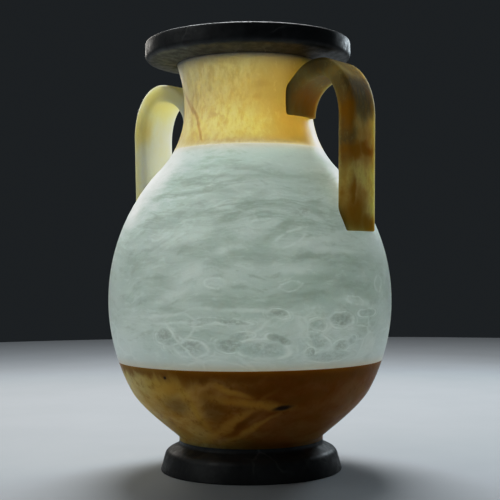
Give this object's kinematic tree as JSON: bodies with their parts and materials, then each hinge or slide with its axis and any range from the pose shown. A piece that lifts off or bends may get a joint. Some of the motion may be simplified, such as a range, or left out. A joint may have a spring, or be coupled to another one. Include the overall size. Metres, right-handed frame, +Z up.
{
  "type": "alabaster vase",
  "caption": "Waisted, wide-bellied vase of turned alabaster with strap handles, a dark stone foot and a dark stone rim; hollow, open at the top.",
  "frame": {"origin": "centre of the foot's flat underside", "axes": "+Z up along the turning axis, +X towards the right handle, -Y towards the front between the handles"},
  "size_m": [0.1984, 0.1984, 0.3],
  "materials": {
    "dark_stone": "satin, near-black with faint grey veins",
    "amber_alabaster": "polished, translucent, amber brown with lighter slanting streaks",
    "white_alabaster": "polished, translucent, clouded white with pale veins round grey nodules",
    "honey_alabaster": "polished, translucent, honey with brown patches"
  },
  "bodies": {
    "root": {"foot": "dark_stone", "bowl": "amber_alabaster", "belly": "white_alabaster", "neck": "honey_alabaster", "rim": "dark_stone", "handle_right": "honey_alabaster", "handle_left": "honey_alabaster"}
  },
  "joints": []
}
